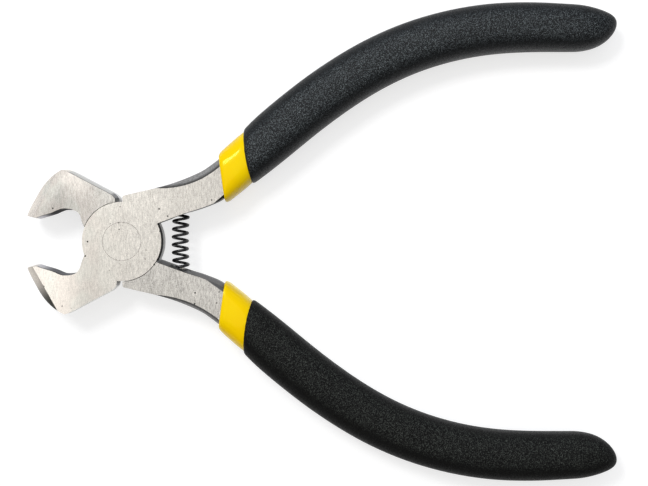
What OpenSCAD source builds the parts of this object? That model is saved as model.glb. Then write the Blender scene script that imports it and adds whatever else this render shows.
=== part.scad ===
// End cutting nippers: two forged halves lapped on one rivet, sprung apart, with two-layer grips.
// Millimetres. The origin is on the rivet's axis at the back ground face, with the jaws towards -X,
// the handles towards +X and the front ground face at the top. Each half is drawn as it stands when
// the jaws are closed, with its cutting edge on the X axis, and is then turned open about the rivet.

/* [Jaws] */
// Rivet axis to the cutting edge
jaw_reach = 17.15; // [16.5:0.05:18]
// Cutting line to the back corner of a jaw, when closed
jaw_depth = 9.65; // [8.9:0.05:10.4]
// Cutting edge to the back corner, along the tool
jaw_setback = 4.4; // [3.6:0.1:5]
// Rise of the jaw's rounded outer face over its chord
jaw_bow = 1.25; // [0.9:0.05:1.6]
// How far that face falls back between its middle and the ground faces
crown_rise = 1.65; // [1.3:0.05:1.9]
// Cutting edge to the ground faces, along the tool
face_back = 1.15; // [0.8:0.05:1.5]
// Turn of the ground faces' edge from the chord, which ends its rounding before the back corner
face_turn = 10; // [6:0.5:13]
// Half the height of the mouth, when closed
mouth_depth = 3.15; // [2.6:0.05:3.5]
// Space left between the two cutting edges, when closed
edge_gap = 0.05; // [0.03:0.01:0.3]
// How far the mouth falls back from the parting plane at the front ground face
mouth_draft = 0.42; // [0.2:0.02:0.5]
// How far the mouth falls back at the back ground face
mouth_draft_back = 0.36; // [0.1:0.02:0.4]
// How far the jaw's underside falls back at the back ground face
under_draft = 0.4; // [0.2:0.05:0.6]

/* [Joint] */
// Thickness of the head across its two ground faces
head_t = 7.4; // [6.8:0.1:8.2]
// Radius of each half's lap disc
disc_radius = 6.85; // [6.6:0.05:7.1]
// Radius of the shoulders beside the disc
shoulder_radius = 7.9; // [7.6:0.05:8.1]
// Running gap between the disc and the shoulders round it
disc_clear = 0.1; // [0.06:0.01:0.2]
// Running gap between the two discs
lap_gap = 0.06; // [0.03:0.01:0.15]
// Diameter of the rivet's shank
rivet_d = 4; // [3:0.1:4.6]
// Diameter of the rivet's countersunk heads
rivet_head_d = 6.6; // [5.4:0.1:7.4]
// Depth of each countersunk head
rivet_head_h = 1.3; // [0.9:0.1:1.8]
// Radial running fit of the rivet
rivet_fit = 0.04; // [0.02:0.01:0.08]
// Angle that each half stands open at rest
open_angle = 14.8; // [12:0.1:16]
// Space between the shoulders that stop the opening
stop_gap = 0.95; // [0.5:0.05:1.2]
// Lean of those shoulders towards the jaws
stop_lean = 2.8; // [0:0.1:5]
// How far the jaw's shoulder falls back at the back ground face
stop_draft = 0.3; // [0.15:0.05:0.5]

/* [Necks] */
// Rivet axis to the middle of the sleeve's mouth, along the tool
neck_x = 19.4; // [18.6:0.1:20.4]
// Closed line of the tool to the middle of the sleeve's mouth
neck_y = 6.19; // [5.9:0.05:6.6]
// Width of the steel at the sleeve's mouth
neck_w = 5.76; // [5.4:0.02:6.1]
// Closed line of the tool to the inner flank where it leaves the disc
crotch_y = 1.45; // [1:0.05:2]
// Inset of the front ground face from the forged outer flank
flank_front = 1.3; // [0.6:0.05:1.5]
// Inset of the back ground face from the forged outer flank
flank_back = 0.75; // [0.4:0.05:1.5]
// Inset of the front ground face from the inner flank, at the sleeve's mouth
flank_inner = 0.45; // [0.2:0.05:0.9]
// How far the inner flank falls back from the parting plane at the back ground face
inner_draft = 0.5; // [0.2:0.05:0.6]
// Slope of the forged flanks from the ground faces
flank_slope = 55; // [45:1:65]

/* [Tangs] */
// Width of the tang behind the sleeve's mouth
tang_w = 4.8; // [4.4:0.1:5]
// Width of the tang at its end
tang_end_w = 4.2; // [3.6:0.1:4.8]
// Thickness of the tang behind the sleeve's mouth
tang_t = 6.2; // [5.4:0.1:6.4]
// Thickness of the tang at its end
tang_end_t = 5.2; // [4.4:0.1:6]
// Tang's end to the tip of the grip
tang_short = 9; // [7:0.5:14]

/* [Grips] */
// Slope of the grip where it leaves the head
grip_slope = 25.2; // [22:0.2:28]
// Straight run behind the sleeve's mouth
lead_run = 15.5; // [13:0.5:18]
// Length of the slow bend
ease_run = 13; // [10:0.5:16]
// Turn of the slow bend
ease_turn = 7.2; // [5:0.2:10]
// Length of the main bow
bow_run = 33.7; // [28:0.1:38]
// Turn of the main bow
bow_turn = 34.5; // [28:0.5:38]
// Straight run to the tip
tail_run = 14.6; // [12:0.2:18]
// Width of the outer grip, seen from the front
grip_w = 9; // [8.7:0.1:10]
// Thickness of the outer grip, front to back
grip_t = 9.6; // [9.2:0.1:11]
// Wall of the outer grip
grip_wall = 1; // [0.8:0.05:1.2]
// Length of the inner sleeve that shows ahead of the outer grip
collar_run = 5.6; // [4:0.1:7]
// Width of that collar at the seam
collar_w = 7.95; // [7.6:0.05:8.6]
// Thickness of that collar at the seam
collar_t = 9.2; // [9:0.05:9.6]
// Slant of the sleeve's mouth and of the seam
mouth_slant = 32; // [20:1:36]
// How far the seam bulges towards the jaws
seam_bulge = 0.5; // [0:0.05:0.8]
// Length of the rounded tip
nose_run = 8; // [6:0.5:10]
// How far the rounded tip leans outwards
nose_lean = 0.95; // [0:0.05:1.4]
// Fit between the tang, the sleeve and the grip
sleeve_fit = 0.05; // [0.03:0.01:0.1]

/* [Spring] */
// Rivet axis to the spring's axis
spring_x = 10.05; // [9.7:0.05:10.8]
// Outside diameter of the coil
coil_d = 3.05; // [2.6:0.05:3.3]
// Diameter of the wire
wire_d = 0.5; // [0.4:0.02:0.6]
// Length of the spring at rest
spring_len = 11.8; // [11.4:0.1:12.4]
// Number of turns
spring_turns = 8.25; // [7:0.25:9.5]
// Angle at which the lower end starts
spring_start = -70; // [-180:5:180]
// How far the middle of the spring bows towards the rivet
spring_bow = 0.25; // [0:0.05:0.4]
// Room round the coil in its seats
seat_clear = 0.22; // [0.15:0.01:0.4]
// Room between the end of the spring and the floor of its seat
seat_gap = 0.1; // [0.05:0.01:0.3]

/* [Hidden] */

// One overrun for every cut, and how far outside its flank a draft's cut starts
over = 1;
cut_lead = 0.02;
// Straight runs between two points of a curve
curve_steps = 8;
$fn = 64;

mid_z = head_t / 2;
mouth_run = jaw_reach - disc_radius;
stop_angle = stop_gap / disc_radius * 90 / PI;
handle_stop = 90 + stop_lean - stop_angle - open_angle;
jaw_stop = 270 - stop_lean - stop_angle - open_angle;

// Corners of the jaw, with its chord from the cutting edge to the back corner
jaw_tip = [-jaw_reach, -edge_gap / 2];
jaw_corner = [jaw_setback - jaw_reach, -jaw_depth];
chord = jaw_corner - jaw_tip;
chord_len = norm(chord);
chord_angle = atan2(chord[1], chord[0]);
chord_mid = (jaw_tip + jaw_corner) / 2;
chord_out = [chord[1], -chord[0]] / chord_len;
bow_r = (pow(chord_len / 2, 2) + pow(jaw_bow, 2)) / (2 * jaw_bow);
crown_r = (pow(mid_z, 2) + pow(crown_rise, 2)) / (2 * crown_rise);
face_angle = chord_angle - face_turn;

// Mouth at the parting plane, from the edge to the disc, as shares of its length beyond the disc and of
// its depth: a narrow land on which the two edges meet comes first
mouth_shares = [[0.82, 0.02], [0.71, 0.22], [0.565, 0.51], [0.483, 0.72], [0.415, 0.87], [0.333, 0.95],
    [0.242, 0.98], [0.164, 0.92], [0.116, 0.78], [0.063, 0.5], [0, 0.22]];
// Directions in which the mouth falls back towards the two ground faces, and how many of those points do
mouth_turn = 225;
mouth_points = 9;
mouth_turn_back = 196;
mouth_points_back = 7;
// Underside of the jaw, as shares of the way from the shoulder to the back corner
jaw_shares = [[0.071, 0.155], [0.173, 0.27], [0.498, 0.58], [0.882, 0.953]];
// Outer flank of the neck, as shares of the way from the shoulder to the sleeve
outer_shares = [[0.13, -0.023], [0.339, -0.068], [0.549, 0.033], [0.77, 0.306], [0.9, 0.658]];
// Inner flank of the neck, as shares of the way from the sleeve to the disc
inner_shares = [[0.13, 0.38], [0.35, 0.6], [0.57, 0.69], [0.87, 0.9]];
// Start and middle of the sloping cuts on the outer flank, and start of that on the inner one
dish_shares = [[0.329, -0.1], [0.68, 0.175]];
bevel_shares = [[0.2, 0.48]];
// A half's outlines end inside the disc at this share of its radius, and behind the mouth at this angle
root_share = 0.8;
root_angle = 190;
// The shoulder's corner is eased at this share of its radius, over this angle
shoulder_share = 0.97;
shoulder_turn = 0.6;

// Runs of the grip's middle line as lengths and turns
grip_runs = [[lead_run, 0], [ease_run, -ease_turn], [bow_run, -bow_turn], [tail_run, 0]];
grip_run = lead_run + ease_run + bow_run + tail_run;
tang_run = grip_run - tang_short;
// The neck ends this far inside the sleeve, and the tang starts at this share of that
neck_lap = 0.6;
tang_share = 0.2;
tang_steps = 12;

// Shares of the collar's run, width and thickness, from its lip to the seam
collar_shares = [[0, 0.86, 0.9], [0.06, 0.91, 0.945], [0.18, 0.95, 0.97], [0.5, 0.975, 0.985], [1, 1, 1]];
// Shares of the grip's run, width and thickness, from the seam to where its tip rounds off
grip_shares = [[0, 0.905, 0.975], [0.012, 0.935, 0.99], [0.05, 0.975, 1], [0.1, 1, 1], [0.17, 1, 1],
    [0.25, 1.005, 1], [0.33, 1, 1], [0.42, 0.995, 0.99], [0.51, 0.99, 0.98], [0.6, 0.985, 0.975],
    [0.7, 0.98, 0.97], [0.8, 0.975, 0.965], [0.9, 0.955, 0.955], [0.96, 0.93, 0.94], [1, 0.915, 0.92]];
// Shares of the rounded tip's run
nose_shares = [0.25, 0.45, 0.62, 0.76, 0.87, 0.95, 0.99];
// The seam's slant fades out over this share of the grip
slant_share = 0.13;
ring_sides = 24;
// Powers of the squared ovals: round the grip, and along its tip across and from front to back
squareness = 2.6;
nose_power = 1.7;
nose_power_deep = 2.2;

// A point at a radius and an angle
function polar(r, a) = r * [cos(a), sin(a)];
// Points between two corners, by a share of the way along each axis
function between(a, b, shares) =
    [for (s = shares) [a[0] + (b[0] - a[0]) * s[0], a[1] + (b[1] - a[1]) * s[1]]];
// A smooth curve through a list of points
function curve(p, n = curve_steps) = concat([for (i = [0:len(p) - 2], k = [0:n - 1])
    let (t = k / n, a = p[max(i - 1, 0)], b = p[i], c = p[i + 1], d = p[min(i + 2, len(p) - 1)])
    (2 * b + t * (c - a) + t * t * (2 * a - 5 * b + 4 * c - d)
        + t * t * t * (3 * b - a - 3 * c + d)) / 2], [p[len(p) - 1]]);
// A point after a run along a bend that turns by k degrees per millimetre
function bend(p, a, s, k) =
    k == 0 ? p + polar(s, a) : p + 180 / PI / k * [sin(a + k * s) - sin(a), cos(a) - cos(a + k * s)];
// Point and heading of the grip's middle line after a run from the sleeve's mouth
function walk(s, i = 0, p = [neck_x, neck_y], a = grip_slope) =
    let (run = grip_runs[i], k = run[1] / run[0])
    s <= run[0] || i == len(grip_runs) - 1 ? [bend(p, a, s, k), a + k * s]
        : walk(s - run[0], i + 1, bend(p, a, run[0], k), a + run[1]);
// A point beside the middle line, square to it or on a slant
function beside(s, w, slant = 0) = let (at = walk(s)) at[0] + polar(w / cos(slant), at[1] + 90 - slant);

shoulder_up = polar(shoulder_radius, handle_stop - shoulder_turn);
shoulder_down = polar(shoulder_radius, jaw_stop - shoulder_turn);
crotch = [sqrt(disc_radius * disc_radius - crotch_y * crotch_y), crotch_y];

// Flanks of the jaw at the parting plane
mouth_ends = [[-disc_radius, 0], [-disc_radius - mouth_run, -mouth_depth]];
mouth_line = curve(concat([jaw_tip], between(mouth_ends[0], mouth_ends[1], mouth_shares)));
stop_line = [polar(root_share * disc_radius, jaw_stop), polar(shoulder_radius + over, jaw_stop)];
under_line = curve(concat([shoulder_down], between(shoulder_down, jaw_corner, jaw_shares), [jaw_corner]));

// Outline of the jaw, closed through a point beyond its rounded face
jaw_outline = concat(
    mouth_line,
    [polar(root_share * disc_radius, root_angle), polar(root_share * disc_radius, jaw_stop),
        polar(shoulder_share * shoulder_radius, jaw_stop)],
    under_line,
    [chord_mid + 3 * jaw_bow * chord_out]);

// Outline of the neck, from the shoulder round the sleeve's mouth to the disc
neck_outer = beside(neck_lap, neck_w / 2, mouth_slant);
neck_inner = beside(neck_lap, -neck_w / 2, mouth_slant);
inner_line = curve(concat([neck_inner], between(neck_inner, crotch, inner_shares), [crotch]));
neck_outline = concat(
    [polar(root_share * disc_radius, handle_stop), polar(shoulder_share * shoulder_radius, handle_stop)],
    curve(concat([shoulder_up], between(shoulder_up, neck_outer, outer_shares), [neck_outer])),
    inner_line,
    [polar(root_share * disc_radius, 0)]);

// What is drawn for the back ground face, turned over to the front one
module front_side() {
    translate([0, 0, head_t])
        mirror([0, 0, 1])
            children();
}

// Direction square to the chord of a flank, into the steel
function into(line) =
    let (way = line[len(line) - 1] - line[0])
    [way[1], -way[0]] / norm(way);

// A flank's line carried on past both its ends
function past_ends(line) =
    let (way = line[len(line) - 1] - line[0], more = over * way / norm(way))
    concat([line[0] - more], line, [line[len(line) - 1] + more]);

// Cuts a flank back from the parting plane towards the back ground face, where it has moved by lean.
// The prism that cuts it stands on the flank's line and reaches away from the steel by room.
module lean_cut(line, lean, room) {
    ends = [line[0], line[len(line) - 1]];
    pivot = (ends[0] + ends[1]) / 2;
    translate(concat(pivot - cut_lead * lean / norm(lean), [mid_z]))
        rotate(atan(norm(lean) / mid_z), [lean[1], -lean[0], 0])
            translate(concat(-pivot, [-mid_z - over]))
                linear_extrude(mid_z + over)
                    polygon(concat(line, [ends[1] + room, ends[0] + room]));
}

// The same for the mouth, from beyond the cutting edge to the last of its points that fall back
module mouth_cut(points, lean) {
    lean_cut(concat([jaw_tip - [over, 0]], [for (i = [0:points * curve_steps]) mouth_line[i]]), lean,
        [0, mouth_depth + over]);
}

module jaw_blank() {
    intersection() {
        linear_extrude(head_t) polygon(jaw_outline);
        // The rounded outer face, seen from the front
        translate(concat(chord_mid + (jaw_bow - bow_r) * chord_out, [-over]))
            cylinder(r = bow_r, h = head_t + 2 * over, $fn = 128);
        // Its rounding from front to back, with all the steel behind it
        translate(concat([face_back - jaw_reach, 0] + polar(crown_rise - crown_r, face_angle - 90), [mid_z]))
            rotate([0, 0, face_angle]) {
                rotate([0, 90, 0])
                    cylinder(r = crown_r, h = 2 * jaw_reach, center = true);
                translate([-jaw_reach, 0, -crown_r])
                    cube([2 * jaw_reach, 2 * jaw_reach, 2 * crown_r]);
            }
    }
}

module jaw() {
    difference() {
        jaw_blank();
        mouth_cut(mouth_points_back, polar(mouth_draft_back, mouth_turn_back));
        front_side() mouth_cut(mouth_points, polar(mouth_draft, mouth_turn));
        lean_cut(past_ends(under_line), under_draft * into(under_line), -over * into(under_line));
        lean_cut(stop_line, stop_draft * into(stop_line), -over * into(stop_line));
    }
}

// Centre of the circle through three points
function centre(a, b, c) =
    let (p = b - a, q = c - a, turn = 2 * cross(p, q))
    a + [q[1] * (p * p) - p[1] * (q * q), p[0] * (q * q) - q[0] * (p * p)] / turn;

// Where the sloping cuts on the neck begin, and a point on the way
dish_ends = between(shoulder_up, neck_outer, dish_shares);
bevel_start = between(neck_inner, crotch, bevel_shares)[0];

// A conical cut that leaves the outer flank sloping away from one ground face
module dish(inset) {
    hub = centre(dish_ends[0], dish_ends[1] - [0, inset], neck_outer - [0, inset]);
    r = norm(dish_ends[0] - hub);
    slope = 1 / tan(flank_slope);
    translate(concat(hub, [0]))
        cylinder(r1 = r + over * slope, r2 = r - mid_z * slope, h = mid_z + over, $fn = 256);
}

// A flat cut that does the same along the inner flank in front, near the sleeve
module inner_bevel() {
    way = neck_inner + [0, flank_inner] - bevel_start;
    translate(concat(bevel_start, [0]))
        rotate([0, 0, atan2(way[1], way[0])])
            rotate([90 - flank_slope, 0, 0])
                translate([0, -head_t, -head_t])
                    cube([norm(way) + over, head_t, 2 * head_t]);
}

module neck() {
    difference() {
        linear_extrude(head_t) polygon(neck_outline);
        translate([0, 0, -over]) dish(flank_back);
        translate([0, 0, over]) front_side() dish(flank_front);
        front_side() inner_bevel();
        lean_cut(inner_line, inner_draft * into(inner_line), -2 * over * into(inner_line));
    }
}

// A flat bar along the grip, tapering in its width and its thickness
module bar(first, run, w, end_w, t, end_t) {
    start = collar_run / 2;
    stops = [for (k = [1:tang_steps]) start + (run - start) * k / tang_steps];
    sides = concat([beside(first, w / 2, mouth_slant)],
        [for (s = stops) beside(s, (w + (end_w - w) * s / run) / 2)],
        [for (k = [tang_steps - 1:-1:0]) beside(stops[k], -(w + (end_w - w) * stops[k] / run) / 2)],
        [beside(first, -w / 2, mouth_slant)]);
    intersection() {
        translate([0, 0, mid_z - head_t])
            linear_extrude(2 * head_t) polygon(sides);
        translate([0, grip_run, mid_z])
            rotate([90, 0, 0])
                linear_extrude(2 * grip_run)
                    polygon([[0, t / 2], [neck_x, t / 2], [neck_x + run, end_t / 2],
                        [neck_x + run, -end_t / 2], [neck_x, -t / 2], [0, -t / 2]]);
    }
}

// The tang, or with grow the room that it and the end of the neck need in the sleeve
module tang(grow = 0) {
    bar(tang_share * neck_lap, tang_run + grow, tang_w + 2 * grow, tang_end_w + 2 * grow,
        tang_t + 2 * grow, tang_end_t + 2 * grow);
}
module neck_room() {
    translate([0, 0, -sleeve_fit])
        linear_extrude(head_t + 2 * sleeve_fit)
            polygon([for (q = [[-neck_lap - over, -1], [neck_lap + sleeve_fit, -1],
                [neck_lap + sleeve_fit, 1], [-neck_lap - over, 1]])
                beside(q[0], q[1] * (neck_w / 2 + sleeve_fit), mouth_slant)]);
}

// A rivet and its heads, or with grow the hole that it turns in
module rivet_form(grow = 0, ends = 0) {
    translate([0, 0, -ends])
        cylinder(r = rivet_d / 2 + grow, h = head_t + 2 * ends);
    for (up = [0, 1])
        translate([0, 0, up * head_t])
            mirror([0, 0, up])
                cylinder(r1 = rivet_head_d / 2 + grow, r2 = rivet_d / 2 + grow, h = rivet_head_h);
}

// One half as it stands closed, with its disc in the front layer
module half() {
    difference() {
        union() {
            jaw();
            neck();
            tang();
            translate([0, 0, mid_z])
                cylinder(r = disc_radius, h = mid_z, $fn = 128);
        }
        translate([0, 0, -over])
            cylinder(r = disc_radius + disc_clear, h = mid_z + lap_gap / 2 + over, $fn = 128);
        rivet_form(rivet_fit, over);
        // Blind seat for one end of the spring, square to it at rest
        rotate([0, 0, -open_angle])
            translate([spring_x, 0, mid_z])
                rotate([-90, 0, 0])
                    cylinder(d = coil_d + 2 * seat_clear, h = spring_len / 2 + seat_gap);
    }
}

// A half or its grip turned to its place at rest
module upper() {
    rotate([0, 0, open_angle])
        children();
}
module lower() {
    translate([0, 0, head_t])
        rotate([180, 0, 0])
            rotate([0, 0, open_angle])
                children();
}

module front_half() {
    color("lightgray") upper() half();
}
module rear_half() {
    color("silver") lower() half();
}
module rivet() {
    color("gray") rivet_form();
}

// Height of a squared oval at a share of its length
function oval(share, power) = pow(1 - pow(share, power), 1 / power);
// One ring of a grip: a squared oval across its middle line, slanted, bulged and leaning outwards
function ring(s, w, t, slant = 0, bulge = 0, lean = 0) =
    let (at = walk(s), across = at[1] + 90 - slant)
    [for (i = [0:ring_sides - 1])
        let (c = cos(360 * i / ring_sides), d = sin(360 * i / ring_sides),
            u = sign(c) * pow(abs(c), 2 / squareness), v = sign(d) * pow(abs(d), 2 / squareness))
        concat(at[0] + polar(u * w / 2 / cos(slant) + lean, across) - polar(bulge * (1 - u * u), at[1]),
            [mid_z + v * t / 2])];

// A closed skin over rings of equal count
module loft(rings) {
    n = len(rings[0]);
    last = (len(rings) - 1) * n;
    polyhedron([for (r = rings) each r], concat(
        [[for (i = [0:n - 1]) i]],
        [for (k = [0:len(rings) - 2], i = [0:n - 1], half = [0, 1])
            let (a = k * n + i, b = k * n + (i + 1) % n)
            half == 0 ? [a, a + n, b] : [b, a + n, b + n]],
        [[for (i = [n - 1:-1:0]) last + i]]));
}

// Rings of the grip's outside, or with inset those of a skin inside it
function grip_rings(inset = 0) = concat(
    [for (q = grip_shares)
        let (s = collar_run + q[0] * (grip_run - nose_run - collar_run))
        ring(s, grip_w * q[1] - 2 * inset, grip_t * q[2] - 2 * inset,
            mouth_slant * max(0, 1 - q[0] / slant_share), seam_bulge * max(0, 1 - q[0] / slant_share))],
    [for (n = nose_shares)
        let (last = grip_shares[len(grip_shares) - 1])
        ring(grip_run - (1 - n) * nose_run - inset * n,
            (grip_w * last[1] - 2 * inset) * oval(n, nose_power),
            (grip_t * last[2] - 2 * inset) * oval(n, nose_power_deep), 0, 0, nose_lean * pow(n, 4))]);

module inner_sleeve() {
    difference() {
        loft(concat(
            [for (q = collar_shares)
                ring(q[0] * collar_run, collar_w * q[1], collar_t * q[2], mouth_slant, seam_bulge * q[0])],
            grip_rings(grip_wall + sleeve_fit)));
        tang(sleeve_fit);
        neck_room();
    }
}

module outer_grip() {
    inside = grip_rings(grip_wall);
    loft(concat([for (k = [len(inside) - 1:-1:0]) inside[k]], grip_rings()));
}

module upper_inner_sleeve() {
    color("gold") upper() inner_sleeve();
}
module upper_outer_grip() {
    color([0.15, 0.16, 0.17]) upper() outer_grip();
}
module lower_inner_sleeve() {
    color("gold") lower() inner_sleeve();
}
module lower_outer_grip() {
    color([0.15, 0.16, 0.17]) lower() outer_grip();
}

// The coil as one unbroken tube of six-sided rings
curl_rings = 8;
wire_sides = 6;
coil_r = (coil_d - wire_d) / 2;
coil_rise = spring_len - wire_d;
coil_count = floor(spring_turns * curl_rings);
function coil_axis(k) =
    let (rise = k / coil_count - 1 / 2)
    [spring_x - spring_bow * (1 - 4 * rise * rise), coil_rise * rise, mid_z];
function coil_out(k) =
    let (a = 360 * k / curl_rings + spring_start)
    [cos(a), 0, -sin(a)];
function coil_point(k) = coil_axis(k) + coil_r * coil_out(k);
function coil_ring(k) =
    let (out = coil_out(k), way = coil_point(k + 1 / 2) - coil_point(k - 1 / 2),
        side = cross(way / norm(way), out))
    [for (i = [0:wire_sides - 1])
        let (a = 360 * i / wire_sides)
        coil_point(k) + wire_d / 2 * (cos(a) * out - sin(a) * side)];

module return_spring() {
    color("dimgray") loft([for (k = [0:coil_count]) coil_ring(k)]);
}

// Least gap of the tube to itself, between rings over half a turn apart
coil_gap = min([for (k = [0:coil_count - curl_rings], j = [curl_rings / 2:curl_rings * 3 / 2])
    if (k + j <= coil_count) norm(coil_point(k) - coil_point(k + j))]) - wire_d;
echo(least_gap_of_spring = coil_gap);

front_half();
rear_half();
rivet();
return_spring();
upper_inner_sleeve();
upper_outer_grip();
lower_inner_sleeve();
lower_outer_grip();
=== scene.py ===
# %% [markdown]
# # End cutting nippers
# A small spring-loaded hand tool lies open on a white table, seen from straight above. Two forged
# steel halves cross at one rivet, a black coil spring holds them apart, and each handle wears a
# yellow vinyl sleeve with a black outer grip over it.
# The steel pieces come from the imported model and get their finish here. The soft layers and the
# spring are modelled afresh, on the same centre lines, because their real surfaces are smooth.

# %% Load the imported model
from math import cos, pi, radians, sin

import bmesh
import bpy
from mathutils import Matrix, Vector


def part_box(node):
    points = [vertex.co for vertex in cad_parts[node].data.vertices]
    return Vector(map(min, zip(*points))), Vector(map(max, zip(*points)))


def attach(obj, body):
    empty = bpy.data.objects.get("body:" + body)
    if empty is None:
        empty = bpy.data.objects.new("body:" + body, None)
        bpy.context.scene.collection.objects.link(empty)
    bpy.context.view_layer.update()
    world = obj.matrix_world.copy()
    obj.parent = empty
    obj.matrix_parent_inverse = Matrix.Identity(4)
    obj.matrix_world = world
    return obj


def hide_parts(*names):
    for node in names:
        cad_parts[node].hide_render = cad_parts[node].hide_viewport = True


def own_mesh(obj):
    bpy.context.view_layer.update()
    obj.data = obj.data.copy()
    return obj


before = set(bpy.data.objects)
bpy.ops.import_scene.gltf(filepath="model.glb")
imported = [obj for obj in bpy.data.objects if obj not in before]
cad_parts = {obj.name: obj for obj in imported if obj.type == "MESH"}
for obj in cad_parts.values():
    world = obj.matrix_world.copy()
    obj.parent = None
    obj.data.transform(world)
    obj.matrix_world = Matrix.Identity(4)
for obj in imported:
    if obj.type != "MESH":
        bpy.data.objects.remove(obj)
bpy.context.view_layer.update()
MM = 0.001
print("nodes:", sorted(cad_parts))

# %% [markdown]
# ## Camera
# The photograph looks straight down, so the camera has no tilt. A near camera with a wide lens and
# a far one with a long lens can frame the tool alike. What tells them apart is parallax: near the
# jaws the back edges of the head show beside the front ones, and that puts the lens about 270 mm
# above the tool, over the middle of its length.

# %% Camera
CAMERA_PLACE = Vector((34.94, -0.26, 271.7)) * MM
LENS = 85.1
SENSOR = 36.0

camera_data = bpy.data.cameras.new("camera")
camera_data.lens = LENS
camera_data.sensor_width = SENSOR
camera_data.clip_start = 1 * MM
camera = bpy.data.objects.new("camera", camera_data)
camera.location = CAMERA_PLACE
bpy.context.scene.collection.objects.link(camera)
bpy.context.scene.camera = camera
print("camera", round(CAMERA_PLACE.z / MM), "mm above the back of the head")

# %% [markdown]
# ## Table
# The tool lies on a plain white sheet, just under the grips, which are its lowest part. One square
# face is all that a flat table needs.

# %% Table
TABLE_SIZE = 3.0
table_z = min(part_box(name)[0].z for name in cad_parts)

bm = bmesh.new()
bmesh.ops.create_grid(bm, x_segments=1, y_segments=1, size=TABLE_SIZE / 2)
bmesh.ops.translate(bm, verts=bm.verts, vec=(CAMERA_PLACE.x, CAMERA_PLACE.y, table_z))
table_mesh = bpy.data.meshes.new("table")
bm.to_mesh(table_mesh)
bm.free()
table = bpy.data.objects.new("table", table_mesh)
bpy.context.scene.collection.objects.link(table)
print("table", round(-table_z / MM, 1), "mm below the back of the head")

# %% [markdown]
# ## Helpers for materials
# Every finish below is a tree of nodes. Built by hand in the editor such a tree soon fills the
# screen, so a few short functions add a node, link it and hand on what it puts out.

# %% Add, feed and wire nodes
def new_material(name):
    """A material with an empty tree."""
    material = bpy.data.materials.new(name)
    material.use_nodes = True
    tree = material.node_tree
    tree.nodes.clear()
    return material, tree


def add(tree, kind, **settings):
    """A node of a kind, with its properties and its unlinked inputs set."""
    node = tree.nodes.new(kind)
    for key, value in settings.items():
        if key.startswith("in_"):
            node.inputs[key[3:].replace("_", " ")].default_value = value
        else:
            setattr(node, key, value)
    return node


def feed(tree, value, into):
    """Gives an input its value: what a socket puts out, a colour or a number."""
    if isinstance(value, bpy.types.NodeSocket):
        tree.links.new(value, into)
    elif isinstance(value, tuple):
        into.default_value = (*value, 1)
    else:
        into.default_value = value


def wire(tree, *pairs):
    """Links outputs to inputs."""
    for out, into in pairs:
        tree.links.new(out, into)


# %% Work on values
def maths(tree, operation, *values):
    """A Math node on numbers or sockets, and what it puts out."""
    node = add(tree, "ShaderNodeMath", operation=operation)
    for value, into in zip(values, node.inputs):
        feed(tree, value, into)
    return node.outputs[0]


def times(tree, total, *others):
    """Product of numbers or sockets."""
    for other in others:
        total = maths(tree, "MULTIPLY", total, other)
    return total


# %% [markdown]
# ## White of the table
# More light would make the table white, but it would bounce up and wash out the flanks of the
# steel. So the sheet's own grey is low, and a glow that only the camera, mirrors and lenses see
# lifts it to white. The shadow of the tool stays on the grey, and shows through the glow.

# %% Table's finish
TABLE_GREY = (0.44, 0.44, 0.44)
TABLE_GLOW = 0.68

material, tree = new_material("table_paper")
path = add(tree, "ShaderNodeLightPath")
mirrored = maths(tree, "MAXIMUM", path.outputs["Is Glossy Ray"], path.outputs["Is Transmission Ray"])
seen_directly = maths(tree, "MAXIMUM", path.outputs["Is Camera Ray"], mirrored)
surface = add(tree, "ShaderNodeBsdfDiffuse", in_Color=(*TABLE_GREY, 1))
glow = add(tree, "ShaderNodeEmission")
both = add(tree, "ShaderNodeAddShader")
out = add(tree, "ShaderNodeOutputMaterial")
wire(tree, (times(tree, seen_directly, TABLE_GLOW), glow.inputs["Strength"]),
     (surface.outputs[0], both.inputs[0]), (glow.outputs[0], both.inputs[1]),
     (both.outputs[0], out.inputs["Surface"]))
table.data.materials.append(material)
print("table's own grey", TABLE_GREY[0], "and glow", TABLE_GLOW)

# %% [markdown]
# ## Light
# A flat steel face that points at the camera mirrors what is right behind the camera. One lamp
# there would show as a hot spot, so the light comes from three broad soft boxes, as in a studio.
# The large one overhead makes the ground faces pale. The small strong one stands 30 degrees off
# the camera's line, draws the highlights on the vinyl and casts the shadow. The last one lights
# the far side. The sky is lighter overhead and at the horizon than between, which leaves darker
# bands along the round grips. It is also cooler and a little lighter on the far side.

# %% Sums, eased ranges and mixed colours
def plus(tree, total, *others):
    """Sum of numbers or sockets."""
    for other in others:
        total = maths(tree, "ADD", total, other)
    return total


def ramp(tree, value, low, high, to_low=0.0, to_high=1.0):
    """Maps a value from one range to another, eased and clamped."""
    node = add(tree, "ShaderNodeMapRange", interpolation_type="SMOOTHSTEP", in_From_Min=low,
               in_From_Max=high, in_To_Min=to_low, in_To_Max=to_high)
    wire(tree, (value, node.inputs["Value"]))
    return node.outputs[0]


def mix(tree, share, a, b):
    """Mixes two colours by a share."""
    node = add(tree, "ShaderNodeMix", data_type="RGBA")
    for key, value in ((0, share), (6, a), (7, b)):
        feed(tree, value, node.inputs[key])
    return node.outputs[2]


# %% Sky
SKY_TOP = 0.50
SKY_MIDDLE = 0.30
SKY_HORIZON = 0.55
SKY_SIDE = 0.20
SKY_BLUE = (0.88, 0.96, 1.10)
SKY_WARM = (1.08, 1.0, 0.90)
HORIZON_BAND = (0.10, 0.35)
TOP_BAND = (0.75, 0.95)
SIDE_BAND = (-0.6, 0.6)

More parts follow.
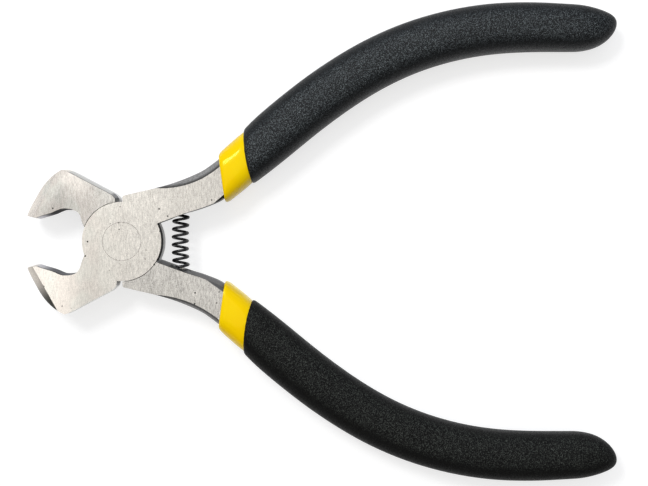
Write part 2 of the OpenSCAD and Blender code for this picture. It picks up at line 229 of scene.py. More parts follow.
world = bpy.data.worlds.new("studio")
bpy.context.scene.world = world
world.use_nodes = True
tree = world.node_tree
tree.nodes.clear()
place = add(tree, "ShaderNodeTexCoord")
way = add(tree, "ShaderNodeSeparateXYZ")
wire(tree, (place.outputs["Generated"], way.inputs[0]))
between = plus(tree, times(tree, way.outputs["Y"], SKY_SIDE), SKY_MIDDLE)
low = ramp(tree, way.outputs["Z"], *HORIZON_BAND, SKY_HORIZON - SKY_MIDDLE, 0.0)
high = ramp(tree, way.outputs["Z"], *TOP_BAND, 0.0, SKY_TOP - SKY_MIDDLE)
tint = mix(tree, ramp(tree, way.outputs["Y"], *SIDE_BAND), SKY_WARM, SKY_BLUE)
sky = add(tree, "ShaderNodeBackground")
out = add(tree, "ShaderNodeOutputWorld")
wire(tree, (plus(tree, between, plus(tree, low, high)), sky.inputs["Strength"]),
     (tint, sky.inputs["Color"]), (sky.outputs[0], out.inputs["Surface"]))
print("sky from", SKY_HORIZON, "at the horizon to", SKY_TOP, "overhead")

# %% Soft boxes
# Name, place from the middle of the tool, width and radiance.
SOFT_BOXES = (("overhead_box", (-0.05, 0.18, 0.80), 0.80, 0.75),
              ("key_box", (-0.23, 0.27, 0.61), 0.16, 20.0),
              ("far_side_box", (0.10, 0.70, 0.35), 0.30, 0.6))
# A square lamp of this many watts a square metre has a radiance of 1.
WATTS_FOR_ONE = 4

middle = Vector((CAMERA_PLACE.x, 0, 0))
for name, offset, width, radiance in SOFT_BOXES:
    data = bpy.data.lights.new(name, "AREA")
    data.shape = "SQUARE"
    data.size = width
    data.energy = WATTS_FOR_ONE * width * width * radiance
    lamp = bpy.data.objects.new(name, data)
    lamp.location = middle + Vector(offset)
    lamp.rotation_euler = (middle - lamp.location).to_track_quat("-Z", "Y").to_euler()
    bpy.context.scene.collection.objects.link(lamp)
print("lamps:", [box[0] for box in SOFT_BOXES])

# %% [markdown]
# ## Steel
# Each half is one forging. Its flat sides are ground on a belt, which leaves fine lines across the
# tool, a slight mottle and a few dark pits. The flanks keep the darker skin of the forge, and the
# rounded outer face of a jaw is ground again. Faces of one solid could each be given a material,
# but the borders would be hard and would follow the mesh. So one finish asks each point where it
# lies and which way it faces. Both answers move with the piece, and each border can be eased.
# A node group holds the recipe. It puts out a colour, a roughness and a height. What differs
# between the halves, which lie at different angles to the light, comes in through its sockets.

# %% Node groups
def new_group(name, takes, gives):
    """A node group, with what it is given and what it puts out."""
    group = bpy.data.node_groups.new(name, "ShaderNodeTree")
    for sockets, way in ((takes, "INPUT"), (gives, "OUTPUT")):
        for key, kind in sockets.items():
            group.interface.new_socket(name=key, in_out=way, socket_type="NodeSocket" + kind)
    given = group.nodes.new("NodeGroupInput").outputs
    result = group.nodes.new("NodeGroupOutput").inputs
    return group, given, result


# %% Steel group
STEEL_COLOURS = ("Ground", "Forged", "Disc wall", "Shoulder", "Mouth")
STEEL_AMOUNTS = ("Edge fade", "Jaw shine", "Rim shine", "Neck shine", "Outer shine", "Grit",
                 "Low corner", "Highlight spot")

STEEL, given, result = new_group(
    "ground_and_forged_steel",
    dict.fromkeys(STEEL_COLOURS, "Color") | dict.fromkeys(STEEL_AMOUNTS, "Float"),
    {"Color": "Color", "Roughness": "Float", "Height": "Float"})
print("steel takes", ", ".join(STEEL_COLOURS + STEEL_AMOUNTS))

# %% Where a point of the steel lies and which way it faces
def minus(tree, a, b):
    """Difference of two numbers or sockets."""
    return maths(tree, "SUBTRACT", a, b)


STEEL_MIDDLE = 3.7 * MM

point = add(STEEL, "ShaderNodeTexCoord")
where = add(STEEL, "ShaderNodeSeparateXYZ")
facing = add(STEEL, "ShaderNodeSeparateXYZ")
wire(STEEL, (point.outputs["Object"], where.inputs[0]), (point.outputs["Normal"], facing.inputs[0]))
at_x, at_y, at_z = where.outputs
from_rivet = maths(STEEL, "SQRT", plus(STEEL, times(STEEL, at_x, at_x), times(STEEL, at_y, at_y)))
aside = maths(STEEL, "ABSOLUTE", at_y)
upness = maths(STEEL, "ABSOLUTE", facing.outputs["Z"])
off_middle = maths(STEEL, "ABSOLUTE", minus(STEEL, at_z, STEEL_MIDDLE))
print("places:", len(STEEL.nodes), "nodes")

# %% Masks for the parts of the steel
# Each pair says from where to where a mask turns on or off.
FLAT = (0.90, 0.99)
UPRIGHT = (0.02, 0.05)
INWARD = (-0.8 * MM, 0.2 * MM)
JAW_SIDE = (-0.5 * MM, -0.2 * MM)
JAW_EASE = (-11.0 * MM, 4.0 * MM)
DISC_WALL = (6.9 * MM, 7.5 * MM)
OUTER_FACE = (15.0 * MM, 15.6 * MM)
UNDERSIDE = (6.6 * MM, 6.9 * MM)
SHOULDER = (-2.1 * MM, -1.5 * MM)
GROUND_EDGE = (2.7 * MM, 3.5 * MM)

flat = ramp(STEEL, upness, *FLAT)
upright = ramp(STEEL, upness, *UPRIGHT, 1.0, 0.0)
inward = ramp(STEEL, times(STEEL, at_y, facing.outputs["Y"]), *INWARD, 1.0, 0.0)
on_jaw = ramp(STEEL, at_x, *JAW_SIDE, 1.0, 0.0)
towards_jaw = ramp(STEEL, at_x, *JAW_EASE, 1.0, 0.0)
beyond_disc = ramp(STEEL, from_rivet, *DISC_WALL)
outer_face = times(STEEL, on_jaw, ramp(STEEL, from_rivet, *OUTER_FACE))
underside = times(STEEL, on_jaw, ramp(STEEL, aside, *UNDERSIDE))
shoulder = ramp(STEEL, at_x, *SHOULDER)
ground_edge = ramp(STEEL, off_middle, *GROUND_EDGE)
print("masks:", len(STEEL.nodes), "nodes")

# %% Patterns in the steel
# Features a metre along X, Y and Z, then the detail and the roughness of the noise.
BELT_LINES = ((6400, 1150, 6400), 4.0, 0.72)
MOTTLE = ((7000, 6000, 7000), 3.0, 0.7)
PATCHES = ((260, 150, 260), 2.0, 0.5)
FORGE_SKIN = ((2600, 2600, 2600), 5.0, 0.75)


def pattern(scale, detail, rough):
    """Noise that is fixed to the piece, stretched along each axis on its own."""
    stretch = add(STEEL, "ShaderNodeMapping")
    stretch.inputs["Scale"].default_value = scale
    noise = add(STEEL, "ShaderNodeTexNoise", in_Scale=1.0, in_Detail=detail, in_Roughness=rough)
    wire(STEEL, (point.outputs["Object"], stretch.inputs["Vector"]),
         (stretch.outputs[0], noise.inputs["Vector"]))
    return noise.outputs["Fac"]


belt_lines = pattern(*BELT_LINES)
mottle = pattern(*MOTTLE)
patches = pattern(*PATCHES)
forge_skin = pattern(*FORGE_SKIN)
print("patterns:", len(STEEL.nodes), "nodes")

# %% Pits in the ground faces
PITS_A_METRE = 700.0
PIT_SIZE = (0.07, 0.14)
PIT_CHANCE = (0.40, 0.45)

pits = add(STEEL, "ShaderNodeTexVoronoi", in_Scale=PITS_A_METRE, in_Randomness=1.0)
pick = add(STEEL, "ShaderNodeSeparateColor")
wire(STEEL, (point.outputs["Object"], pits.inputs["Vector"]), (pits.outputs["Color"], pick.inputs[0]))
pitted = times(STEEL, ramp(STEEL, pits.outputs["Distance"], *PIT_SIZE, 1.0, 0.0),
               ramp(STEEL, pick.outputs[0], *PIT_CHANCE), flat)
print("pits:", len(STEEL.nodes), "nodes")

# %% [markdown]
# The belt wears a ground face unevenly. One noise alone would look like cloth or like cloud, so
# the tone swings with three of them, less towards the jaws. Four places then get painted light or
# shade, by an amount that each half sets as the light falls on it: the jaw, the neck, the rim
# along the jaw's outer edge, and a painted highlight spot on the rear jaw.

# %% Tone of the ground faces
LINES_SWING, MOTTLE_SWING, PATCHES_SWING = 1.35, 1.15, 0.26
GRIT_BEHIND, GRIT_AT_JAW = 1.12, 0.66
JAW = (-11.0 * MM, -5.5 * MM)
NECK = (5.0 * MM, 12.0 * MM)
RIM = (13.0 * MM, 15.0 * MM)
# A painted highlight on the rear jaw, around this point.
HIGHLIGHT_SPOT = (-8.0 * MM, 10.2 * MM, 7.4 * MM)
HIGHLIGHT_REACH = (0.3 * MM, 3.6 * MM)


def swing(value, amount):
    """A pattern turned into a swing about zero."""
    return times(STEEL, minus(STEEL, value, 0.5), amount)


marks = plus(STEEL, swing(belt_lines, LINES_SWING), swing(mottle, MOTTLE_SWING),
             swing(patches, PATCHES_SWING))
coarse = times(STEEL, given["Grit"], ramp(STEEL, towards_jaw, 0.0, 1.0, GRIT_BEHIND, GRIT_AT_JAW))
from_spot = add(STEEL, "ShaderNodeVectorMath", operation="DISTANCE")
from_spot.inputs[1].default_value = HIGHLIGHT_SPOT
wire(STEEL, (point.outputs["Object"], from_spot.inputs[0]))

tone = plus(STEEL, times(STEEL, marks, coarse), 1.0)
# Painted light and shade: the jaw, the neck, the rim and the highlight spot get lighter or darker by each
# half's amounts.
for amount, mask in (("Jaw shine", ramp(STEEL, at_x, *JAW, 1.0, 0.0)),
                     ("Neck shine", ramp(STEEL, at_x, *NECK)),
                     ("Rim shine", times(STEEL, ramp(STEEL, from_rivet, *RIM), on_jaw)),
                     ("Highlight spot", ramp(STEEL, from_spot.outputs["Value"], *HIGHLIGHT_REACH, 1.0, 0.0))):
    tone = times(STEEL, tone, plus(STEEL, times(STEEL, mask, given[amount]), 1.0))
print("tone:", len(STEEL.nodes), "nodes")

# %% Colour of the ground faces
def scaled(tree, colour, amount):
    """A colour made lighter or darker by a factor."""
    node = add(tree, "ShaderNodeVectorMath", operation="SCALE")
    wire(tree, (colour, node.inputs[0]), (amount, node.inputs["Scale"]))
    return node.outputs[0]


EVEN = (1.0, 1.0, 1.0)
WARM_PATCH = (1.02, 0.99, 0.98)
COOL_PATCH = (0.985, 1.0, 0.99)
PATCH_EDGE = (0.40, 0.60)

patch_tint = mix(STEEL, ramp(STEEL, patches, *PATCH_EDGE), WARM_PATCH, COOL_PATCH)
tinted = add(STEEL, "ShaderNodeVectorMath", operation="MULTIPLY")
wire(STEEL, (given["Ground"], tinted.inputs[0]),
     (mix(STEEL, towards_jaw, EVEN, patch_tint), tinted.inputs[1]))
ground = scaled(STEEL, tinted.outputs[0], tone)
print("ground faces:", len(STEEL.nodes), "nodes")

# %% [markdown]
# Beside the ground faces the steel is darker: the skin of the forge on the flanks, painted shade
# near black where two flanks face each other, painted shade deep in the mouth, and a dark line of
# painted shade along the ground edges. The walls under the jaws are trimmed bright, and the outer
# face of a jaw gets painted shade far from the edge.
# Each of these is one colour laid over the last by a mask, as a painter would build it up.

# %% Colour of the flanks and the mouth
# Near black: the colour of the real pits, and of the painted shade along the ground edges.
PITS_AND_EDGE_SHADE = (0.016, 0.015, 0.014)
# Painted shade, near black, where two flanks face each other across the gap.
SHADED_INNER_FLANK = (0.075, 0.075, 0.077)
MOUTH_LIGHT = (0.62, 0.61, 0.64)
MOUTH_DEPTH = (-14.4 * MM, -11.8 * MM)
SKIN_NOISE, SKIN_TONES = (0.3, 0.7), (0.62, 1.45)
FLANK_EDGE_SHADE = 0.8

dull = scaled(STEEL, given["Forged"], ramp(STEEL, forge_skin, *SKIN_NOISE, *SKIN_TONES))
inside_mouth = times(STEEL, inward, on_jaw)
deep = ramp(STEEL, at_x, *MOUTH_DEPTH)
# Painted shade: the flanks that face each other between the handles are painted near black.
flank = mix(STEEL, times(STEEL, inward, minus(STEEL, 1.0, on_jaw)), dull, SHADED_INNER_FLANK)
# Inside the mouth: pale at the cutting edge, then painted shade deeper in, by each half's mouth colour.
flank = mix(STEEL, inside_mouth, flank, mix(STEEL, deep, MOUTH_LIGHT, given["Mouth"]))
# Painted shade: a dark line along the ground edges of the flanks.
flank = mix(STEEL, times(STEEL, ground_edge, FLANK_EDGE_SHADE), flank, PITS_AND_EDGE_SHADE)
print("flanks:", len(STEEL.nodes), "nodes")

# %% Colour of the walls and the outer face
UNDER_JAW = (0.53, 0.53, 0.51)
TRIMMED = (0.66, 0.66, 0.65)
# Painted shade on the rounded outer face of a jaw, far from its edge.
OUTER_FACE_SHADE = (0.05, 0.05, 0.04)
OUTER_SHADE_REACH = (6.0 * MM, 10.5 * MM)
WALL_EDGE_SHADE = 0.85

wall = mix(STEEL, times(STEEL, shoulder, beyond_disc), UNDER_JAW, given["Shoulder"])
# Painted shade along the ground edges of the walls.
wall = mix(STEEL, times(STEEL, ground_edge, WALL_EDGE_SHADE), wall, PITS_AND_EDGE_SHADE)
wall = mix(STEEL, upright, wall, TRIMMED)
# The outer face: painted lighter by Outer shine, and painted shade far from the edge by Edge fade.
outer = mix(STEEL, times(STEEL, ramp(STEEL, aside, *OUTER_SHADE_REACH), given["Edge fade"]),
            scaled(STEEL, ground, given["Outer shine"]), OUTER_FACE_SHADE)
forged = mix(STEEL, beyond_disc, given["Disc wall"], flank)
forged = mix(STEEL, underside, forged, wall)
forged = mix(STEEL, outer_face, forged, outer)
print("walls:", len(STEEL.nodes), "nodes")

# %% Low corner beside the sleeve, which the belt missed and which lies in shade
LOW_CORNER = (14.0 * MM, -6.3 * MM)
LOW_CORNER_WAY = (0.586, 0.811)
LOW_CORNER_START = (11.0 * MM, 13.0 * MM)
LOW_CORNER_EDGE = 0.2 * MM

along = times(STEEL, minus(STEEL, at_x, LOW_CORNER[0]), LOW_CORNER_WAY[0])
across = times(STEEL, minus(STEEL, at_y, LOW_CORNER[1]), LOW_CORNER_WAY[1])
beside = times(STEEL, ramp(STEEL, at_x, *LOW_CORNER_START), given["Low corner"])
# Painted shade: the rounded corner gets the colour of the shaded inner flank.
missed_shaded_corner = times(STEEL, ramp(STEEL, plus(STEEL, along, across), 0.0, LOW_CORNER_EDGE), beside)
level = mix(STEEL, missed_shaded_corner, ground, SHADED_INNER_FLANK)
wire(STEEL, (mix(STEEL, pitted, mix(STEEL, flat, forged, level), PITS_AND_EDGE_SHADE), result["Color"]))
print("colour:", len(STEEL.nodes), "nodes")

# %% Roughness and height of the steel
GROUND_ROUGH, LINES_ROUGH = 0.30, 0.10
FORGED_ROUGH, SKIN_ROUGH = 0.42, 0.15
DISC_WALL_ROUGH, DEEP_MOUTH_ROUGH = 0.45, 0.4
SCRATCH_HEIGHT = 0.35

polish = plus(STEEL, times(STEEL, belt_lines, LINES_ROUGH), GROUND_ROUGH)
oiled = times(STEEL, minus(STEEL, 1.0, beyond_disc), DISC_WALL_ROUGH)
deep_mouth_rough = times(STEEL, inside_mouth, deep, DEEP_MOUTH_ROUGH)
rough = plus(STEEL, times(STEEL, forge_skin, SKIN_ROUGH), plus(STEEL, oiled, deep_mouth_rough, FORGED_ROUGH))
blend = add(STEEL, "ShaderNodeMix", data_type="FLOAT")
scratches = times(STEEL, belt_lines, times(STEEL, flat, SCRATCH_HEIGHT))
dents = times(STEEL, forge_skin, minus(STEEL, 1.0, flat))
height = minus(STEEL, plus(STEEL, scratches, dents), pitted)
wire(STEEL, (flat, blend.inputs[0]), (rough, blend.inputs[2]), (polish, blend.inputs[3]),
     (blend.outputs[0], result["Roughness"]), (height, result["Height"]))
print("steel group:", len(STEEL.nodes), "nodes")

# %% [markdown]
# The group goes into one metal material for each piece, with that piece's own values. The front
# half is lit more, so its ground steel is painted lighter and warmer. Its own disc wall lies in
# shade and is painted near black, while the rear disc's wall and the front jaw's shoulder are
# painted lighter, as they catch the light. The rivet was ground off with the front face.

# %% Values of each steel piece
# Painted light: the same steel is painted lighter and warmer on the front half, which is lit more, and
# darker and cooler on the rear half.
GROUND_LIT_WARM = (0.452, 0.429, 0.390)
GROUND_SHADED_COOL = (0.372, 0.356, 0.328)
FORGED = (0.275, 0.272, 0.268)
# Painted light and shade on the walls: the lit colour where a wall catches the light, the shaded and the
# near black ones where it lies in shade.
LIT_WALL = (0.68, 0.68, 0.67)
SHADED_WALL = (0.17, 0.17, 0.175)
SHADE_BLACK = (0.05, 0.05, 0.05)
# Painted shade deep in the mouth: lighter on the front half, whose mouth faces the light, darker on the
# rear half, whose mouth faces away.
FRONT_MOUTH_SHADE = (0.23, 0.23, 0.24)
REAR_MOUTH_DEEP_SHADE = (0.09, 0.09, 0.095)

RIVET = {"Ground": GROUND_LIT_WARM, "Forged": FORGED, "Disc wall": SHADE_BLACK, "Shoulder": SHADE_BLACK,
         "Mouth": SHADE_BLACK, "Outer shine": 1.0, "Grit": 1.0}
# The shine amounts, Edge fade and the highlight spot set each half's painted light and shade.
FRONT = RIVET | {"Shoulder": LIT_WALL, "Mouth": FRONT_MOUTH_SHADE, "Edge fade": 1.0, "Jaw shine": 0.44,
                 "Neck shine": -0.09}
REAR = {"Ground": GROUND_SHADED_COOL, "Forged": FORGED, "Disc wall": LIT_WALL, "Shoulder": SHADED_WALL,
        "Mouth": REAR_MOUTH_DEEP_SHADE, "Edge fade": 0.1, "Jaw shine": -0.21, "Rim shine": 0.30,
        "Neck shine": 0.06, "Outer shine": 2.1, "Grit": 1.35, "Low corner": 1.0, "Highlight spot": 0.36}
print("ground steel", GROUND_LIT_WARM, "in front and", GROUND_SHADED_COOL, "behind")

# %% Dress the steel pieces
def steel(name, values):
    """Steel for one piece: the group's colour, roughness and height on one metal shader."""
    material, tree = new_material(name)
    finish = add(tree, "ShaderNodeGroup", node_tree=STEEL)
    for key, value in values.items():
        feed(tree, value, finish.inputs[key])
    relief = add(tree, "ShaderNodeBump", in_Strength=0.35, in_Distance=0.02 * MM)
    metal = add(tree, "ShaderNodeBsdfPrincipled", in_Metallic=1.0)
    out = add(tree, "ShaderNodeOutputMaterial")
    wire(tree, (finish.outputs["Color"], metal.inputs["Base Color"]),
         (finish.outputs["Roughness"], metal.inputs["Roughness"]),
         (finish.outputs["Height"], relief.inputs["Height"]),
         (relief.outputs[0], metal.inputs["Normal"]), (metal.outputs[0], out.inputs["Surface"]))
    return material


for node, name, values in (("front_half", "steel_front", FRONT), ("rear_half", "steel_rear", REAR),
                           ("rivet", "steel_rivet", RIVET)):
    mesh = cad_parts[node].data
    mesh.materials.clear()
    mesh.materials.append(steel(name, values))
    print(node, "wears", name)

# %% [markdown]
# ## Centre line of a handle
# Sleeve, grip and tang all follow one line: straight behind the head, then a slow bend, then the
# main bow that fills the palm, then straight to the tip. A drawn curve could say it, but lengths
# and turns are what one can measure, so a short list holds those, and a function walks along it.
# The same line serves both handles, one turned up about the rivet and one turned over.

# %% Walk along the handle
START = Vector((19.4, 6.19)) * MM
START_SLOPE = radians(25.2)
RUNS = [(15.5 * MM, 0.0), (13.0 * MM, radians(-7.2)), (33.7 * MM, radians(-34.5)), (14.6 * MM, 0.0)]
HANDLE_RUN = sum(run for run, turn in RUNS)


def walk(distance):
    """Point and heading of the centre line of a closed handle, a distance behind the sleeve's mouth."""
    x, y, heading = START.x, START.y, START_SLOPE
    for k, (run, turn) in enumerate(RUNS):
        step = distance if k == len(RUNS) - 1 else min(distance, run)
        curve = turn / run
        if curve:
            x += (sin(heading + curve * step) - sin(heading)) / curve
            y += (cos(heading) - cos(heading + curve * step)) / curve
        else:
            x += step * cos(heading)
            y += step * sin(heading)
        heading += curve * step
        distance -= step
        if distance <= 0:
            break
    return Vector((x, y)), heading


print("handle", round(HANDLE_RUN / MM, 1), "mm behind the sleeve's mouth")

# %% Places of the two handles
OPEN_ANGLE = radians(14.8)
HEAD_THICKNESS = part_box("front_half")[1].z
MID_Z = HEAD_THICKNESS / 2
UPPER = Matrix.Rotation(OPEN_ANGLE, 4, "Z")
LOWER = Matrix.Translation((0, 0, HEAD_THICKNESS)) @ Matrix.Rotation(pi, 4, "X") @ UPPER
print("head", round(HEAD_THICKNESS / MM, 1), "mm thick")

# %% [markdown]
# ## Soft layers
# The yellow layer is dipped or moulded on the tang, and the black one is moulded over it. A curve
# with a round bevel would give a plain tube. A loft can change its width, depth and slant on the
# way: one ring of points is pushed out again and again along the centre line, and each copy takes
# the section that the layer has there. That keeps the mesh all quads but for the two ends, and a
# subdivision surface then rounds it evenly.

# %% Section of a soft layer
RING_SIDES = 32
SQUARENESS = 2.6


def squared_oval(k, squareness):
    """Point k of a ring at unit size: 2 makes a circle, and more comes nearer to a square."""
    angle = 2 * pi * k / RING_SIDES
    across, deep = cos(angle), sin(angle)
    power = 2 / squareness
    return (abs(across) ** power * (1 if across >= 0 else -1),
            abs(deep) ** power * (1 if deep >= 0 else -1))


def ring_points(station):
    """Where a ring's points lie, for one station of a layer."""
    distance, width, depth, squareness, slant, bulge, lean = station
    centre, heading = walk(distance)
    side = heading + pi / 2 - slant
    points = []
    for k in range(RING_SIDES):
        across, deep = squared_oval(k, squareness)
        reach = across * width / 2 / cos(slant) + lean
        ahead = -bulge * (1 - across * across)
        points.append(Vector((centre.x + reach * cos(side) + ahead * cos(heading),
                              centre.y + reach * sin(side) + ahead * sin(heading),
                              MID_Z + deep * depth / 2)))
    return points


print("ring of", RING_SIDES, "points")

# %% Loft a soft layer
def loft(name, stations, place, material, body, node):
    """A closed soft layer through its stations, smoothed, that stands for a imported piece."""
    bm = bmesh.new()
    ring = bmesh.ops.create_circle(bm, segments=RING_SIDES, radius=1 * MM)["verts"]
    for vert, spot in zip(ring, ring_points(stations[0])):
        vert.co = spot
    edges = list(bm.edges)
    bmesh.ops.contextual_create(bm, geom=edges)
    for station in stations[1:]:
        made = bmesh.ops.extrude_edge_only(bm, edges=edges)["geom"]
        ring = [g for g in made if isinstance(g, bmesh.types.BMVert)]
        edges = [g for g in made if isinstance(g, bmesh.types.BMEdge)]
        for vert, spot in zip(ring, ring_points(station)):
            vert.co = spot
    bmesh.ops.contextual_create(bm, geom=edges)
    bmesh.ops.recalc_face_normals(bm, faces=bm.faces)
    bmesh.ops.transform(bm, matrix=place, verts=bm.verts)
    for face in bm.faces:
        face.smooth = True
    mesh = bpy.data.meshes.new(name)
    bm.to_mesh(mesh)
    bm.free()
    mesh.materials.append(material)
    layer = bpy.data.objects.new(name, mesh)
    bpy.context.scene.collection.objects.link(layer)
    smooth = layer.modifiers.new("smooth", "SUBSURF")
    smooth.levels = smooth.render_levels = 2
    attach(layer, body)
    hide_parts(node)
    print(name, len(mesh.polygons), "faces before smoothing")
    return layer


# %% [markdown]
# ## Yellow vinyl
# Vinyl is glossy and slightly uneven, so its highlights wave a little. A noise as bump does that
# without more faces. The tinted shine keeps the yellow full under the pale sky, and a little
# sheen lightens the edges, as light that passes through the soft layer does.

# %% Finish of the sleeves
VINYL_DEEP = (0.99, 0.64, 0.0)
VINYL_PALE = (1.0, 0.70, 0.001)
VINYL_SHINE = (1.0, 0.90, 0.22)
VINYL_SHEEN = (1.0, 0.80, 0.10)
HUE_NOISE = (0.3, 0.7)

YELLOW, tree = new_material("yellow_vinyl")
place = add(tree, "ShaderNodeTexCoord")
waves = add(tree, "ShaderNodeTexNoise", in_Scale=500.0, in_Detail=2.0)
tint = add(tree, "ShaderNodeTexNoise", in_Scale=160.0, in_Detail=3.0)
wire(tree, *((place.outputs["Object"], noise.inputs["Vector"]) for noise in (waves, tint)))
colour = mix(tree, ramp(tree, tint.outputs["Fac"], *HUE_NOISE), VINYL_DEEP, VINYL_PALE)
relief = add(tree, "ShaderNodeBump", in_Strength=0.32, in_Distance=0.05 * MM)
plastic = add(tree, "ShaderNodeBsdfPrincipled", in_Roughness=0.14, in_IOR=1.36,
              in_Specular_Tint=(*VINYL_SHINE, 1), in_Sheen_Weight=0.7, in_Sheen_Roughness=0.4,
              in_Sheen_Tint=(*VINYL_SHEEN, 1))
out = add(tree, "ShaderNodeOutputMaterial")
wire(tree, (waves.outputs["Fac"], relief.inputs["Height"]), (relief.outputs[0], plastic.inputs["Normal"]),
     (colour, plastic.inputs["Base Color"]), (plastic.outputs[0], out.inputs["Surface"]))
print("sleeves wear", YELLOW.name)

# %% [markdown]
# ## Black grain
# The grips have the fine pebble grain of a sand-blasted mould. Modelled grains would need millions
# of faces. Here each cell of a pattern is one grain: it has its own tone, and its surface tilts
# its own way, so that some grains flash and others stay dark. The palest grains show only on the
# crown, leaned towards the light, as a painted highlight. Both grips use the same group with their
# own colours, because one turns its crown to the light and the other away from it.

# %% Group for the pebble grain
GRAINS_A_METRE, BUMPS_A_METRE, BLOTCHES_A_METRE = 12000.0, 5200.0, 250.0
GRAIN_TILT = (0.45, 0.45, 0.45)
HALF = (0.5, 0.5, 0.5)
PALE_GRAINS = (0.66, 0.98)
# Where and how strongly the crown gets its painted highlight.
CROWN, CROWN_LIGHT = (0.72, 1.04), (0.18, 1.0)
RUBBER_ROUGH, BLOTCH_ROUGH = 0.42, 0.10

PEBBLES, given, result = new_group(
    "pebble_grain", {"Base": "Color", "Tip": "Color", "Lean": "Float", "Facing": "Vector"},
    {"Color": "Color", "Roughness": "Float", "Height": "Float", "Normal": "Vector"})
place = add(PEBBLES, "ShaderNodeTexCoord")
grains = add(PEBBLES, "ShaderNodeTexVoronoi", in_Scale=GRAINS_A_METRE, in_Randomness=1.0)
bumps = add(PEBBLES, "ShaderNodeTexNoise", in_Scale=BUMPS_A_METRE, in_Detail=2.0)
blotches = add(PEBBLES, "ShaderNodeTexNoise", in_Scale=BLOTCHES_A_METRE, in_Detail=2.0)
wire(PEBBLES, *((place.outputs["Object"], each.inputs["Vector"]) for each in (grains, bumps, blotches)))
print("grains of about", round(1 / GRAINS_A_METRE / MM, 2), "mm")

# %% Colour and roughness of the grain
pick = add(PEBBLES, "ShaderNodeSeparateColor")
towards = add(PEBBLES, "ShaderNodeSeparateXYZ")
wire(PEBBLES, (grains.outputs["Color"], pick.inputs[0]), (place.outputs["Normal"], towards.inputs[0]))
upward = plus(PEBBLES, maths(PEBBLES, "ABSOLUTE", towards.outputs["Z"]),
              times(PEBBLES, towards.outputs["Y"], given["Lean"]))
# Painted highlight: the pale grains show only on the crown, which leans towards the light.
lit_crown_grains = times(PEBBLES, ramp(PEBBLES, pick.outputs[0], *PALE_GRAINS),
             ramp(PEBBLES, upward, *CROWN, *CROWN_LIGHT))
wire(PEBBLES, (mix(PEBBLES, lit_crown_grains, given["Base"], given["Tip"]), result["Color"]),
     (plus(PEBBLES, times(PEBBLES, blotches.outputs["Fac"], BLOTCH_ROUGH), RUBBER_ROUGH),
      result["Roughness"]), (bumps.outputs["Fac"], result["Height"]))
print("grain's colour:", len(PEBBLES.nodes), "nodes")

# %% Tilt of each grain
tilt = add(PEBBLES, "ShaderNodeVectorMath", operation="SUBTRACT")
tilt.inputs[1].default_value = HALF
tilted = add(PEBBLES, "ShaderNodeVectorMath", operation="MULTIPLY_ADD")
tilted.inputs[1].default_value = GRAIN_TILT
facet = add(PEBBLES, "ShaderNodeVectorMath", operation="NORMALIZE")
wire(PEBBLES, (grains.outputs["Color"], tilt.inputs[0]), (tilt.outputs[0], tilted.inputs[0]),
     (given["Facing"], tilted.inputs[2]), (tilted.outputs[0], facet.inputs[0]),
     (facet.outputs[0], result["Normal"]))
print("pebble group:", len(PEBBLES.nodes), "nodes")

# %% Finish of the grips
def black_rubber(name, base, tip, lean, ior):
    """Black rubber with the pebble grain, for one grip."""
    material, tree = new_material(name)
    grain = add(tree, "ShaderNodeGroup", node_tree=PEBBLES)
    for key, value in (("Base", base), ("Tip", tip), ("Lean", lean)):
        feed(tree, value, grain.inputs[key])
    surface = add(tree, "ShaderNodeNewGeometry")
    relief = add(tree, "ShaderNodeBump", in_Strength=0.6, in_Distance=0.06 * MM)
    rubber = add(tree, "ShaderNodeBsdfPrincipled", in_IOR=ior)
    out = add(tree, "ShaderNodeOutputMaterial")
    wire(tree, (surface.outputs["Normal"], grain.inputs["Facing"]),
         (grain.outputs["Normal"], relief.inputs["Normal"]),
         (grain.outputs["Height"], relief.inputs["Height"]),
         (grain.outputs["Color"], rubber.inputs["Base Color"]),
         (grain.outputs["Roughness"], rubber.inputs["Roughness"]),
         (relief.outputs[0], rubber.inputs["Normal"]), (rubber.outputs[0], out.inputs["Surface"]))
    return material


# The tip colours are a painted highlight, brighter on the upper grip, which turns its crown to the light.
UPPER_BLACK = black_rubber("black_grain_upper", base=(0.003, 0.004, 0.005), tip=(0.148, 0.170, 0.177),
                           lean=0.03, ior=1.27)
LOWER_BLACK = black_rubber("black_grain_lower", base=(0.006, 0.006, 0.006), tip=(0.070, 0.077, 0.069),
                           lean=0.38, ior=1.13)
print("grips wear", UPPER_BLACK.name, "and", LOWER_BLACK.name)

# %% [markdown]
# ## Stations of the soft layers
# A station is one ring on the centre line: its distance, width, depth, squareness, slant, bulge
# and lean. The mouth of the collar is slanted and squarer, to cover the tang's corners. The seam
# between the layers is slanted and bulged too, and the grip loses both within its first part. Its
# nose is a rounded end that leans to the inside. Shares of a few named sizes are easier to change
# than a list of places.

# %% Stations of the grip
GRIP_WIDTH, GRIP_DEPTH, GRIP_WALL = 9.0 * MM, 9.6 * MM, 1.0 * MM
COLLAR_RUN = 5.6 * MM
SLANT = radians(32)
SLANT_SHARE = 0.13
SEAM_BULGE = 0.5 * MM
NOSE_RUN, NOSE_LEAN, NOSE_LEAN_POWER = 8.0 * MM, 0.95 * MM, 4
NOSE_POWER, NOSE_POWER_DEEP = 1.95, 2.2
NOSE_RINGS, NOSE_END = 14, 0.999
